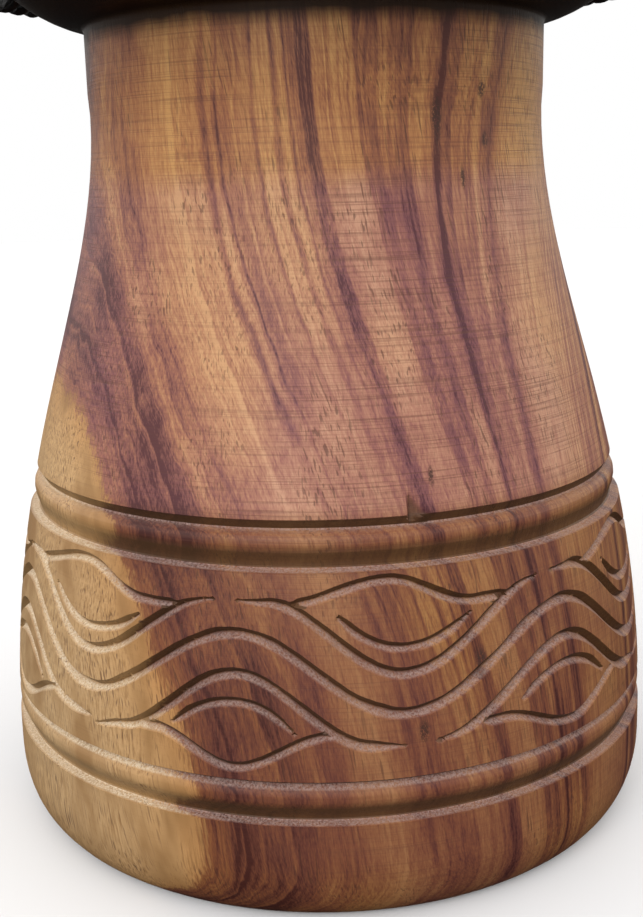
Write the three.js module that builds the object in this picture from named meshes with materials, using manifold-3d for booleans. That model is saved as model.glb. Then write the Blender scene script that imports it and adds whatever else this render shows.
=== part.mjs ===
// A goblet drum: a shell carved from one log, a rawhide head, and the rings and rope that stretch it.
// Millimetres, +Z up. The origin is on the floor, on the drum's axis. Angles run from the front, -Y, towards +X.
import * as THREE from "three";
import { mergeVertices } from "three/addons/utils/BufferGeometryUtils.js";
import Module from "manifold-3d";

const wasm = await Module();
wasm.setup();

// Foot of the shell
const FLOOR_RADIUS = 105.6; // outside of the flat ring that stands on the floor
const FOOT_RADIUS = 117.5; // widest part
const FOOT_EDGE = 22.7; // height of the rounded lower edge
const WAIST_RADIUS = 78.1;
const WAIST_DROP = 28.3; // from the neck corner down to the waist
const FLARE_SHARE = 0.48; // share of the flank that stays wide
const DRAW_SHARE = 0.27; // share of the flank that is drawn in like the waist
const FOOT_WALL = 22;
const BORE_RADIUS = 91.5; // of the hollow at the floor

// Neck and bowl of the shell
const NECK_HEIGHT = 273.3;
const NECK_RADIUS = 78.5;
const BOWL_HEIGHT = 326.7; // from the neck corner to the rim
const BOWL_RADIUS = 162; // outside, at the rim
const BOWL_WALL = 15;
const SHOULDER_CURVE = 45; // radius of the turn under the bowl
const SHOULDER_START = 8; // degrees above level, at the neck corner
const SHOULDER_END = 75;
const SIDE_BULGE = 0.94; // how far the side keeps the shoulder's lean, halfway up
const RIM_ROUND = 9;
const RIM_FLAT = 2;
const RIM_BEVEL = 12; // height of the slope inside the rim

// Turned beads above and below the carved band
const LOWER_BEAD_TOP = 49.3;
const LOWER_BEAD_HEIGHT = 14.3;
const UPPER_BEAD_TOP = 126.4;
const UPPER_BEAD_HEIGHT = 15.3;
const BEAD_DEPTH = 3.2; // of the groove under a bead
const BEAD_SHAPE = [
  [0, 0], [0.12, 1], [0.38, 0.3], [0.66, 0.08], [0.9, 0.75], [1, 0],
]; // share of the bead's height from below, share of its depth

// Carved wave: degrees of each crest, set out by eye, and heights as shares of half the band
const CREST_ANGLES = [-66, -14, 41, 92, 143, 194, 244];
const TROUGH_LAG = -2; // degrees from halfway between two crests
const CUT_WIDTH = 3.6;
const CUT_DEPTH = 2.2;
const CUT_TIP = 0.12; // size of a cut where it runs out
const MAIN_SWING = 0.395;
const MOTIF_REACH = 0.96; // half-width of a motif, in half waves
const OUTER_LOW = 0;
const OUTER_RISE = 0.7;
const OUTER_TURN = 0.8; // where the outer line levels off, in half waves
const TIP_RISE = 0.07;
const EYE_MIDDLE = 0.755;
const EYE_SWING = 0.145;
const EYE_TURN = 0.5;
const EYE_REACH = 0.7;
const INNER_LOW = 0.24;
const INNER_RISE = 0.36;
const INNER_REACH = 0.46;

// Head, rings and rope
const SKIN = 1.2;
const HEAD_DROP = 48; // from the rim down to the flesh ring
const SKIN_TAIL = 3; // cut edge, above the middle of the flesh ring
const FLESH_ROD = 3; // radius of each steel rod
const CROWN_ROD = 3.5;
const BOTTOM_ROD = 3.5;
const ROPE = 5; // diameter
const LOOPS = 12;
const LOOP_LENGTH = 26; // from the middle of a ring to the end of its loops
const LOOP_WIDTH = 15;
const LOOP_ROUND = 0.6; // rise of the loop's rounded end, as a share of half its width
const WRAP = 300; // degrees that the rope goes round its ring between two loops
const ROPE_SLACK = 1.6; // room inside each hairpin and round each rod
const RING_SEAT = 68; // degrees round the shoulder where the bottom ring bears
const GAP = 0.3; // between pieces that touch

// Facets
const COLUMNS = 2 * LOOPS;
const ROD_SIDES = 5;
const ROPE_SIDES = 4;
const BEND = 60; // degrees between corners where the skin or a rope goes round a rod
const HAIRPIN = [180, 120, 60, 0]; // corners of the rope where it turns back, in degrees
const ROUND_CORNERS = [45, 90];
const EDGE_CORNERS = [30, 60, 90];
const NECK_STEPS = 4;
const SHOULDER_STEPS = 4;
const SIDE_CORNERS = [0.3, 0.6, 1];
const BOWL_CORNERS = [1, 0.55, 0.12];
const BORE_CORNERS = [0.92, 0.6, 0.3];
const WAVE_STEPS = 3; // in each half wave
const OUTER_STEPS = 7;
const EYE_STEPS = 5;
const INNER_STEPS = 3;

const RIM_HEIGHT = NECK_HEIGHT + BOWL_HEIGHT;
const radians = THREE.MathUtils.degToRad;
const flat = (r, z) => new THREE.Vector2(r, z);
const around = (r, angle, z) => new THREE.Vector3(r * Math.sin(angle), -r * Math.cos(angle), z);

function solidOf(geometry) {
  const bare = geometry.index ? geometry.toNonIndexed() : geometry.clone();
  bare.deleteAttribute("normal");
  bare.deleteAttribute("uv");
  const merged = mergeVertices(bare, 1e-3);
  return new wasm.Manifold(
    new wasm.Mesh({
      numProp: 3,
      vertProperties: merged.attributes.position.array,
      triVerts: new Uint32Array(merged.index.array),
    }),
  );
}

function geometryOf(solid) {
  const mesh = solid.getMesh();
  return new THREE.BufferGeometry()
    .setAttribute("position", new THREE.BufferAttribute(mesh.vertProperties, 3))
    .setIndex(new THREE.BufferAttribute(mesh.triVerts, 1));
}

const join = (solids) => solids.reduce((whole, solid) => whole.add(solid));

// Turns a closed profile, given counterclockwise as (radius, height), round the drum's axis.
function turned(points) {
  return new THREE.LatheGeometry(points, COLUMNS).rotateX(Math.PI / 2);
}

function ringOfRod(middle, rod) {
  const points = [];
  for (let i = 0; i <= ROD_SIDES; i++) {
    const a = (i * 2 * Math.PI) / ROD_SIDES;
    points.push(flat(middle.x + rod * Math.cos(a), middle.y + rod * Math.sin(a)));
  }
  return turned(points);
}

// Outside of the foot between its rounded edge and the waist
const waistHeight = NECK_HEIGHT - WAIST_DROP;
const flankHeight = waistHeight - FOOT_EDGE;
const flank = new THREE.CubicBezierCurve(
  flat(FOOT_RADIUS, FOOT_EDGE),
  flat(FOOT_RADIUS, FOOT_EDGE + FLARE_SHARE * flankHeight),
  flat(WAIST_RADIUS, waistHeight - DRAW_SHARE * flankHeight),
  flat(WAIST_RADIUS, waistHeight),
);
const flankSamples = flank.getPoints(200);

function radiusAlong(samples, z) {
  const last = samples.length - 1;
  if (z <= samples[0].y) return samples[0].x;
  if (z >= samples[last].y) return samples[last].x;
  const i = samples.findIndex((p) => p.y > z);
  const [a, b] = [samples[i - 1], samples[i]];
  return a.x + ((b.x - a.x) * (z - a.y)) / (b.y - a.y);
}

const flankRadius = (z) => radiusAlong(flankSamples, z);

// Outside of the bowl: a tight turn from the neck, then a long gentle curve to the rim
function shoulderPoint(degrees) {
  const [a, b] = [radians(degrees), radians(SHOULDER_START)];
  return flat(
    NECK_RADIUS + SHOULDER_CURVE * (Math.sin(a) - Math.sin(b)),
    NECK_HEIGHT + SHOULDER_CURVE * (Math.cos(b) - Math.cos(a)),
  );
}
const shoulderTop = shoulderPoint(SHOULDER_END);
const sideTop = flat(BOWL_RADIUS, RIM_HEIGHT - RIM_ROUND);
const sideReach = (sideTop.y - shoulderTop.y) / 2;
const sideLean = (SIDE_BULGE * sideReach) / Math.tan(radians(SHOULDER_END));
const side = new THREE.QuadraticBezierCurve(
  shoulderTop,
  flat(shoulderTop.x + sideLean, shoulderTop.y + sideReach),
  sideTop,
);
const sideSamples = side.getPoints(100);

function bead(top, height) {
  return BEAD_SHAPE.map(([share, depth]) => {
    const z = top - height + share * height;
    return flat(flankRadius(z) - depth * BEAD_DEPTH, z);
  });
}

function shellProfile() {
  const points = [flat(FLOOR_RADIUS, 0)];
  for (const degrees of EDGE_CORNERS) {
    const a = radians(degrees);
    const out = FLOOR_RADIUS + (FOOT_RADIUS - FLOOR_RADIUS) * Math.sin(a);
    points.push(flat(out, FOOT_EDGE * (1 - Math.cos(a))));
  }
  points.push(...bead(LOWER_BEAD_TOP, LOWER_BEAD_HEIGHT));
  points.push(...bead(UPPER_BEAD_TOP, UPPER_BEAD_HEIGHT));
  for (let i = 1; i <= NECK_STEPS; i++) {
    const z = UPPER_BEAD_TOP + ((waistHeight - UPPER_BEAD_TOP) * i) / NECK_STEPS;
    points.push(flat(flankRadius(z), z));
  }
  const shoulderTurn = (SHOULDER_END - SHOULDER_START) / SHOULDER_STEPS;
  for (let i = 0; i <= SHOULDER_STEPS; i++)
    points.push(shoulderPoint(SHOULDER_START + shoulderTurn * i));
  for (const share of SIDE_CORNERS) points.push(side.getPoint(share));
  const round = flat(BOWL_RADIUS - RIM_ROUND, RIM_HEIGHT - RIM_ROUND);
  for (const degrees of ROUND_CORNERS) {
    const a = radians(degrees);
    points.push(flat(round.x + RIM_ROUND * Math.cos(a), round.y + RIM_ROUND * Math.sin(a)));
  }
  points.push(flat(round.x - RIM_FLAT, RIM_HEIGHT));
  points.push(...hollowProfile());
  points.push(flat(BORE_RADIUS, 0), points[0].clone());
  return points;
}

// Inside of the shell, from the rim down through the throat to the floor
function hollowProfile() {
  const throat = WAIST_RADIUS - FOOT_WALL;
  const points = [];
  for (const share of BOWL_CORNERS) {
    const z = shoulderTop.y + share * (RIM_HEIGHT - RIM_BEVEL - shoulderTop.y);
    points.push(flat(radiusAlong(sideSamples, z) - BOWL_WALL, z));
  }
  for (const degrees of [(SHOULDER_START + SHOULDER_END) / 2, SHOULDER_START]) {
    const [a, outside] = [radians(degrees), shoulderPoint(degrees)];
    points.push(flat(outside.x - BOWL_WALL * Math.sin(a), outside.y + BOWL_WALL * Math.cos(a)));
  }
  points.push(flat(throat, NECK_HEIGHT));
  for (const share of BORE_CORNERS) {
    const z = share * waistHeight;
    points.push(flat(Math.min(BORE_RADIUS, flankRadius(z) - FOOT_WALL), z));
  }
  return points;
}

// The carved lines. A line is a list of [angle, height, size], where size tapers the cut to nothing.
const bandLow = LOWER_BEAD_TOP;
const bandHigh = UPPER_BEAD_TOP - UPPER_BEAD_HEIGHT;
const halfBand = (bandHigh - bandLow) / 2;
const bandHeight = (share) => (bandLow + bandHigh) / 2 + share * halfBand;
const crests = CREST_ANGLES.map(radians);
const nextCrest = (k) => (k + 1 < crests.length ? crests[k + 1] : crests[0] + 2 * Math.PI);
const troughs = crests.map((c, k) => (c + nextCrest(k)) / 2 + radians(TROUGH_LAG));
const cosine = (share) => Math.cos(Math.PI * share);

function mainWave() {
  const line = [];
  crests.forEach((crest, k) => {
    for (const [from, to, sign] of [[crest, troughs[k], 1], [troughs[k], nextCrest(k), -1]])
      for (let i = 0; i < WAVE_STEPS; i++) {
        const run = i / WAVE_STEPS;
        line.push([from + (to - from) * run, bandHeight(sign * MAIN_SWING * cosine(run)), 1]);
      }
  });
  return line;
}

function outerHeight(share) {
  const run = Math.min(1, Math.abs(share) / OUTER_TURN);
  const tip = Math.max(0, Math.abs(share) - OUTER_TURN) / (MOTIF_REACH - OUTER_TURN);
  return OUTER_LOW + (OUTER_RISE * (1 - cosine(run))) / 2 + TIP_RISE * tip;
}
const eyeHeight = (share) => EYE_MIDDLE + EYE_SWING * cosine(share / EYE_TURN);
const innerHeight = (share) => INNER_LOW + INNER_RISE * (share / INNER_REACH) ** 2;

// A motif rises from the main wave's trough (side 1) or hangs from its crest (side -1).
function motif(middle, before, after, side) {
  const line = (reach, steps, heightAt) => {
    const stations = [];
    for (let i = 0; i <= steps; i++) {
      const share = reach * ((2 * i) / steps - 1);
      const angle = middle + share * (share < 0 ? middle - before : after - middle);
      stations.push([angle, bandHeight(side * heightAt(share)), i % steps ? 1 : CUT_TIP]);
    }
    return stations;
  };
  return [
    line(MOTIF_REACH, OUTER_STEPS, outerHeight),
    line(EYE_REACH, EYE_STEPS, eyeHeight),
    line(INNER_REACH, INNER_STEPS, innerHeight),
  ];
}

// A V-shaped cutter that follows a line on the straight band, with its edges just outside the wood
const [lowRadius, highRadius] = [flankRadius(bandLow), flankRadius(bandHigh)];
const bandSlope = (highRadius - lowRadius) / (bandHigh - bandLow);
const bandRadius = (z) => lowRadius + bandSlope * (z - bandLow);

function cutter(line, closed) {
  const lift = 0.7 * CUT_DEPTH;
  const place = ([angle, z]) => around(bandRadius(z), angle, z);
  const corners = [];
  const count = line.length;
  line.forEach((station, i) => {
    const [angle, , size] = station;
    const before = place(line[closed ? (i + count - 1) % count : Math.max(0, i - 1)]);
    const after = place(line[closed ? (i + 1) % count : Math.min(count - 1, i + 1)]);
    const out = around(1, angle, -bandSlope).normalize();
    const along = after.sub(before).normalize();
    const across = new THREE.Vector3().crossVectors(out, along).normalize();
    const half = (size * CUT_WIDTH * (CUT_DEPTH + lift)) / (2 * CUT_DEPTH);
    const at = place(station);
    const rim = at.clone().addScaledVector(out, lift * size);
    corners.push(at.clone().addScaledVector(out, -CUT_DEPTH * size));
    corners.push(rim.clone().addScaledVector(across, half));
    corners.push(rim.clone().addScaledVector(across, -half));
  });
  const faces = [];
  for (let i = 0; i < (closed ? count : count - 1); i++) {
    const [a, b] = [3 * i, 3 * ((i + 1) % count)];
    for (const [p, q] of [[0, 1], [1, 2], [2, 0]])
      faces.push(a + p, b + q, b + p, a + p, a + q, b + q);
  }
  if (!closed) faces.push(0, 2, 1, 3 * count - 3, 3 * count - 2, 3 * count - 1);
  return new THREE.BufferGeometry().setFromPoints(corners).setIndex(faces);
}

function carvedShell() {
  const cuts = [cutter(mainWave(), true)];
  crests.forEach((crest, k) => {
    const trough = troughs[k];
    const troughBefore = k ? troughs[k - 1] : troughs[troughs.length - 1] - 2 * Math.PI;
    const lines = [...motif(trough, crest, nextCrest(k), 1), ...motif(crest, troughBefore, trough, -1)];
    cuts.push(...lines.map((line) => cutter(line, false)));
  });
  return geometryOf(solidOf(turned(shellProfile())).subtract(join(cuts.map(solidOf))));
}

// Where the head and its rings lie, as (radius, height). Bends are set so wide that their flats clear the rod.
const roundRod = (radius) => radius / Math.cos(radians(BEND / 2));
const skinInside = BOWL_RADIUS + GAP;
const skinOutside = skinInside + SKIN;
const foldInside = roundRod(FLESH_ROD + GAP);
const foldOutside = foldInside + SKIN;
const fleshRing = flat(skinOutside + foldInside, RIM_HEIGHT - HEAD_DROP);
const ropeBend = (rod) => roundRod(rod + GAP + (ROPE + ROPE_SLACK) / 2);
const ropeStand = (rod) => ropeBend(rod) + GAP + (ROPE + ROPE_SLACK) / 2;
const crownRadius = skinOutside + ropeStand(CROWN_ROD);
const crownStand = foldOutside + ropeStand(CROWN_ROD);
const crownRise = Math.sqrt(Math.max(0, crownStand ** 2 - (crownRadius - fleshRing.x) ** 2));
const crownRing = flat(crownRadius, fleshRing.y + crownRise);
const seat = shoulderPoint(RING_SEAT);
const seatStand = ropeStand(BOTTOM_ROD);
const bottomRing = flat(
  seat.x + seatStand * Math.sin(radians(RING_SEAT)),
  seat.y - seatStand * Math.cos(radians(RING_SEAT)),
);

// Rawhide over the rim, turned up round the flesh ring
function headProfile() {
  const rimArc = (grow, degrees) => {
    const [r, a] = [RIM_ROUND + grow, radians(degrees)];
    return flat(BOWL_RADIUS - RIM_ROUND + r * Math.cos(a), RIM_HEIGHT - RIM_ROUND + r * Math.sin(a));
  };
  const fold = (r, degrees) => {
    const a = radians(degrees);
    return flat(fleshRing.x + r * Math.cos(a), fleshRing.y + r * Math.sin(a));
  };
  const cutEdge = fleshRing.y + SKIN_TAIL;
  const outer = GAP + SKIN;
  const over = [flat(0, RIM_HEIGHT + outer), rimArc(outer, 90), rimArc(outer, 45), rimArc(outer, 0)];
  const under = [rimArc(GAP, 0), rimArc(GAP, 45), rimArc(GAP, 90), flat(0, RIM_HEIGHT + GAP)];
  const down = [];
  for (let degrees = 180; degrees <= 360; degrees += BEND) down.push(degrees);
  const edge = [flat(fleshRing.x + foldInside, cutEdge), flat(fleshRing.x + foldOutside, cutEdge)];
  const inFold = down.map((degrees) => fold(foldInside, degrees));
  const outFold = down.map((degrees) => fold(foldOutside, degrees)).reverse();
  return [...over, ...inFold, ...edge, ...outFold, ...under, over[0].clone()].reverse();
}

// A path with corners, for a rope whose bends are set point by point
class CornerPath extends THREE.Curve {
  constructor(points) {
    super();
    this.points = points;
  }
  getPoint(t, target = new THREE.Vector3()) {
    const spot = THREE.MathUtils.clamp(t, 0, 1) * (this.points.length - 1);
    const i = Math.min(this.points.length - 2, Math.floor(spot));
    return target.lerpVectors(this.points[i], this.points[i + 1], spot - i);
  }
  getUtoTmapping(u) {
    return u;
  }
}

const pitch = (2 * Math.PI) / LOOPS;

function ropeAlong(points) {
  const section = new THREE.Shape();
  for (let i = 0; i < ROPE_SIDES; i++) {
    const a = (i * 2 * Math.PI) / ROPE_SIDES;
    section[i ? "lineTo" : "moveTo"]((ROPE / 2) * Math.cos(a), (ROPE / 2) * Math.sin(a));
  }
  section.closePath();
  return solidOf(
    new THREE.ExtrudeGeometry(section, {
      steps: points.length - 1,
      extrudePath: new CornerPath(points),
      bevelEnabled: false,
    }),
  );
}

// One rope in equal turns right round the drum, joined from two lengths that run a little way into each other
function ropeInTurns(turn) {
  const axis = new THREE.Vector3(0, 0, 1);
  const route = [];
  for (let k = 0; k <= LOOPS; k++)
    route.push(...turn.map((point) => point.clone().applyAxisAngle(axis, k * pitch)));
  const lap = 0.3;
  const length = (from, to) => [...route.slice(from, to + 1), route[to].clone().lerp(route[to + 1], lap)];
  const middle = turn.length * Math.floor(LOOPS / 2);
  const end = turn.length * LOOPS;
  return geometryOf(ropeAlong(length(0, middle)).add(ropeAlong(length(middle, end))));
}

// The middle of the rope where a loop ends. Loops hang down from the crown ring and stand up on the other.
const loopEnd = (ring, rod, down) => flat(ring.x + ropeBend(rod), ring.y - down * LOOP_LENGTH);

// One loop and the turn round its ring that leads to the next
function loopTurn(ring, rod, down, turnBy) {
  const [w, bend] = [LOOP_WIDTH / 2, ropeBend(rod)];
  const at = (s, out, h) => around(ring.x + out, turnBy + s / ring.x, ring.y - down * h);
  const next = pitch * ring.x;
  const wraps = Math.round(WRAP / BEND);
  const sides = LOOP_LENGTH - LOOP_ROUND * w;
  const points = [at(-w, bend, sides), at(0, bend, LOOP_LENGTH), at(w, bend, sides)];
  for (let i = 0; i <= wraps; i++) {
    const a = radians(-BEND * i);
    points.push(at(w + ((next - 2 * w) * i) / wraps, bend * Math.cos(a), bend * Math.sin(a)));
  }
  return ropeInTurns(points);
}

// The tension rope: down in front, round a bottom loop, up behind, and over the next crown loop
function tensionRope() {
  const bend = ROPE + ROPE_SLACK;
  const high = loopEnd(crownRing, CROWN_ROD, 1);
  const low = loopEnd(bottomRing, BOTTOM_ROD, -1);
  const hairpin = (end, angle, up) => (degrees) => {
    const a = radians(degrees);
    return around(end.x + bend * Math.cos(a), angle, end.y + up * bend * Math.sin(a));
  };
  return ropeInTurns([
    ...HAIRPIN.map(hairpin(high, 0, 1)),
    ...HAIRPIN.toReversed().map(hairpin(low, pitch / 2, -1)),
  ]);
}

const finish = (color, roughness, metalness = 0) =>
  new THREE.MeshStandardMaterial({ color, roughness, metalness });
const wood = finish(0x8a5a35, 0.5);
const rawhide = finish(0xd8c7a4, 0.7);
const steel = finish(0x2b2b2d, 0.45, 0.9);
const blackRope = finish(0x101012, 0.85);

const drum = new THREE.Group();
function addPiece(name, geometry, material) {
  const mesh = new THREE.Mesh(geometry, material);
  mesh.name = name;
  drum.add(mesh);
}

addPiece("shell", carvedShell(), wood);
addPiece("drumhead", turned(headProfile()), rawhide);
addPiece("flesh_ring", ringOfRod(fleshRing, FLESH_ROD), steel);
addPiece("crown_ring", ringOfRod(crownRing, CROWN_ROD), steel);
addPiece("bottom_ring", ringOfRod(bottomRing, BOTTOM_ROD), steel);
addPiece("crown_loops", loopTurn(crownRing, CROWN_ROD, 1, 0), blackRope);
addPiece("bottom_loops", loopTurn(bottomRing, BOTTOM_ROD, -1, pitch / 2), blackRope);
addPiece("tension_rope", tensionRope(), blackRope);

export default drum;
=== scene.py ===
# A goblet drum: one carved log, a rawhide head, and the rings and black rope that stretch it.
import math
import random
from collections import namedtuple

import bmesh
import bpy
import numpy as np
from mathutils import Matrix, Vector, noise


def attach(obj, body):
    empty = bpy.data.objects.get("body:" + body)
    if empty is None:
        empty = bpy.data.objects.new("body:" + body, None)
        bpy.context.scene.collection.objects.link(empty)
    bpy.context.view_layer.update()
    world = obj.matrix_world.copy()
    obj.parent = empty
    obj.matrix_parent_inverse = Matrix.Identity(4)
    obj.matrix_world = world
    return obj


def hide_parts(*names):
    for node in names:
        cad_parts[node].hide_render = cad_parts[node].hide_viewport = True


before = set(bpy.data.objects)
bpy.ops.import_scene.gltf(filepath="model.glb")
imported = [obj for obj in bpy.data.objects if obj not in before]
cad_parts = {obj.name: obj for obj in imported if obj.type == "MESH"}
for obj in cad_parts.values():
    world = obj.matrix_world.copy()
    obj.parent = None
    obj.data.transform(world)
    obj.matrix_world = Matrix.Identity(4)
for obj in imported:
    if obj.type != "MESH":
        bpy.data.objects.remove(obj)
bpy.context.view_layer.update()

# The view
# A close view of the foot and the neck from a little above, held slightly off level, as by hand.
CAMERA_PLACE = (0.0, -0.4398, 0.2243)
CAMERA_TURN = 0.11
CAMERA_DOWN = 13.35
CAMERA_ROLL = -1.364
camera_data = bpy.data.cameras.new("camera")
camera_data.lens = 47.22
camera_data.sensor_width = 36.0
camera_data.clip_start = 0.01
camera = bpy.data.objects.new("camera", camera_data)
bpy.context.scene.collection.objects.link(camera)
camera.matrix_world = (
    Matrix.Translation(CAMERA_PLACE)
    @ Matrix.Rotation(math.radians(CAMERA_TURN), 4, "Z")
    @ Matrix.Rotation(math.radians(90.0 - CAMERA_DOWN), 4, "X")
    @ Matrix.Rotation(math.radians(CAMERA_ROLL), 4, "Z")
)
bpy.context.scene.camera = camera
bpy.context.scene.view_settings.view_transform = "Standard"

# The light
# An open sky over dark ground, brightest a third of the way up, with one broad soft box in front.
SKY = [
    (0.0, 0.01), (0.46, 0.02), (0.5, 0.14), (0.56, 0.68),
    (0.66, 1.0), (0.8, 0.9), (0.9, 0.62), (1.0, 0.4),
]
SKY_POWER = 2.0
SKY_WHITE = (1.0, 0.985, 0.96, 1)
BOX_PLACE = (-0.5, -1.4, 0.9)
BOX_TARGET = (0, 0, 0.15)
BOX_SIZE = 1.0
BOX_POWER = 12.0


def put(tree, kind, values=None, **settings):
    """Adds a node. Each value is a number, a colour, or the socket that feeds it."""
    node = tree.nodes.new(kind)
    for name, setting in settings.items():
        setattr(node, name, setting)
    for name, value in (values or {}).items():
        if isinstance(value, bpy.types.NodeSocket):
            tree.links.new(value, node.inputs[name])
        else:
            node.inputs[name].default_value = value
    return node


def calc(tree, operation, a, b=0.0, c=0.0, clamp=False):
    node = put(tree, "ShaderNodeMath", {0: a, 1: b, 2: c}, operation=operation, use_clamp=clamp)
    return node.outputs[0]


def ramp(tree, factor, stops):
    """A colour ramp through stops of place and colour, or place and grey."""
    node = put(tree, "ShaderNodeValToRGB", {"Fac": factor})
    elements = node.color_ramp.elements
    while len(elements) < len(stops):
        elements.new(0.5)
    for element, (at, colour) in zip(elements, sorted(stops)):
        element.position = at
        element.color = (colour,) * 3 + (1,) if isinstance(colour, float) else tuple(colour) + (1,)
    return node.outputs["Color"]


world = bpy.data.worlds.new("sky")
bpy.context.scene.world = world
world.use_nodes = True
sky = world.node_tree
sky.nodes.clear()
direction = put(sky, "ShaderNodeTexCoord").outputs["Generated"]
rise = put(sky, "ShaderNodeSeparateXYZ", {0: direction}).outputs["Z"]
brightness = ramp(sky, calc(sky, "MULTIPLY_ADD", rise, 0.5, 0.5), SKY)
strength = calc(sky, "MULTIPLY", brightness, SKY_POWER)
lit = put(sky, "ShaderNodeBackground", {"Color": SKY_WHITE, "Strength": strength})
plain = put(sky, "ShaderNodeBackground", {"Color": (1, 1, 1, 1), "Strength": 1.0})
seen = put(sky, "ShaderNodeLightPath").outputs["Is Camera Ray"]
mixed = put(sky, "ShaderNodeMixShader", {0: seen, 1: lit.outputs[0], 2: plain.outputs[0]})
put(sky, "ShaderNodeOutputWorld", {"Surface": mixed.outputs[0]})

soft_box = bpy.data.lights.new("front_box", "AREA")
soft_box.size = BOX_SIZE
soft_box.energy = BOX_POWER
box_holder = bpy.data.objects.new("front_box", soft_box)
box_holder.location = BOX_PLACE
aim = Vector(BOX_TARGET) - Vector(BOX_PLACE)
box_holder.rotation_euler = aim.to_track_quat("-Z", "Y").to_euler()
bpy.context.scene.collection.objects.link(box_holder)

# The floor
# A plain pale floor. It takes the drum's shadow and throws no light back up.
FLOOR_PALE = (0.74, 0.745, 0.76, 1)
FLOOR_REACH = 4.0
floor_mesh = bmesh.new()
bmesh.ops.create_grid(floor_mesh, x_segments=1, y_segments=1, size=FLOOR_REACH)
floor_data = bpy.data.meshes.new("floor")
floor_mesh.to_mesh(floor_data)
floor_mesh.free()
floor = bpy.data.objects.new("floor", floor_data)
bpy.context.scene.collection.objects.link(floor)
floor.visible_diffuse = False
floor.visible_glossy = False
paint = bpy.data.materials.new("pale_floor")
paint.use_nodes = True
floor_surface = paint.node_tree.nodes["Principled BSDF"]
floor_surface.inputs["Base Color"].default_value = FLOOR_PALE
floor_surface.inputs["Roughness"].default_value = 0.9
floor_data.materials.append(paint)

# The shell
# Foot, neck and bowl are one log of hardwood, turned outside and hollowed from both ends with an adze. Two
# beads are cut round the foot, with a carved band between them. Sizes are in millimetres.
MM = 0.001
FLOOR_RADIUS = 105.6
FOOT_RADIUS = 117.5
FOOT_EDGE = 22.7
WAIST_RADIUS = 78.1
WAIST_HEIGHT = 245.0
NECK_RADIUS = 78.5
NECK_HEIGHT = 273.3
NECK_ROWS = (252.0, 259.0, 266.0)
BORE_RADIUS = 91.5
FOOT_WALL = 22.0
BOWL_WALL = 15.0
SHOULDER_CURVE = 45.0
SHOULDER_START = 8.0
SHOULDER_END = 75.0
SIDE_BULGE = 0.94
BOWL_RADIUS = 162.0
RIM_HEIGHT = 600.0
RIM_ROUND = 9.0
RIM_FLAT = 2.0
RIM_BEVEL = 12.0


def bezier(corners, count):
    """Points on a curve with two, three or four control points."""
    points = [np.array(corner, float) for corner in corners]
    share = np.linspace(0, 1, count)[:, None]
    while len(points) > 1:
        points = [a + (b - a) * share for a, b in zip(points, points[1:])]
    return points[0]


flank_height = WAIST_HEIGHT - FOOT_EDGE
flank = bezier(
    [
        (FOOT_RADIUS, FOOT_EDGE),
        (FOOT_RADIUS, FOOT_EDGE + 0.48 * flank_height),
        (WAIST_RADIUS, WAIST_HEIGHT - 0.27 * flank_height),
        (WAIST_RADIUS, WAIST_HEIGHT),
    ],
    300,
)


def flank_radius(z):
    return np.interp(z, flank[:, 1], flank[:, 0])


def shoulder(degrees, inset=0.0):
    a, b = math.radians(degrees), math.radians(SHOULDER_START)
    r = NECK_RADIUS + SHOULDER_CURVE * (math.sin(a) - math.sin(b)) - inset * math.sin(a)
    return r, NECK_HEIGHT + SHOULDER_CURVE * (math.cos(b) - math.cos(a)) + inset * math.cos(a)


side_foot = shoulder(SHOULDER_END)
side_half = (RIM_HEIGHT - RIM_ROUND - side_foot[1]) / 2
side_lean = SIDE_BULGE * side_half / math.tan(math.radians(SHOULDER_END))
side_middle = (side_foot[0] + side_lean, side_foot[1] + side_half)
side = bezier([side_foot, side_middle, (BOWL_RADIUS, RIM_HEIGHT - RIM_ROUND)], 100)


def side_radius(z):
    return np.interp(z, side[:, 1], side[:, 0])


def arc(centre, radius, start, end, count):
    angles = np.radians(np.linspace(start, end, count))
    return [(centre[0] + radius * math.cos(a), centre[1] + radius * math.sin(a)) for a in angles]


# Each bead's profile: share of its height from below, share of the depth. Both have the same underside.
BEAD_DEPTH = 3.2
BEAD_UNDER = [
    (0, 0), (0.02, 0.4), (0.05, 0.85), (0.09, 1.0), (0.16, 0.9), (0.27, 0.62), (0.38, 0.33), (0.5, 0.12),
]
LOWER_SHAPE = BEAD_UNDER + [
    (0.64, 0.05), (0.74, 0.12), (0.82, 0.3), (0.86, 0.5),
    (0.885, 0.62), (0.91, 0.62), (0.98, 0.12), (1, 0),
]
UPPER_SHAPE = BEAD_UNDER + [
    (0.61, 0.05), (0.69, 0.14), (0.745, 0.34), (0.77, 0.58),
    (0.785, 0.72), (0.81, 0.74), (0.98, 0.1), (1, 0),
]

# How much of its depth each part of a bead shows as a cut: all of it in the grooves, little on the bead
BEAD_MARK = [(0.07, 1.0), (0.1, 0.25), (0.5, 0.25), (0.6, 0.3), (0.78, 0.3), (0.8, 1.0)]
# Which side of the groove that is: -1 for its pale lower wall and the bead's crown, 1 for the underside, in
# painted shade
BEAD_SIDE = [(0.05, -1), (0.08, 1), (0.5, 1), (0.55, -1)]


def bead_rows(shape, top, height, rows):
    shares = np.union1d(np.linspace(0, 1, rows), [share for share, _ in shape])
    depth = np.interp(shares, *np.array(shape).T)
    mark = depth * np.interp(shares, *np.array(BEAD_MARK).T)
    lip = np.interp(shares, *np.array(BEAD_SIDE).T)
    z = top - height + shares * height
    return list(zip(flank_radius(z) - depth * BEAD_DEPTH, z, mark, lip))


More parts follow.
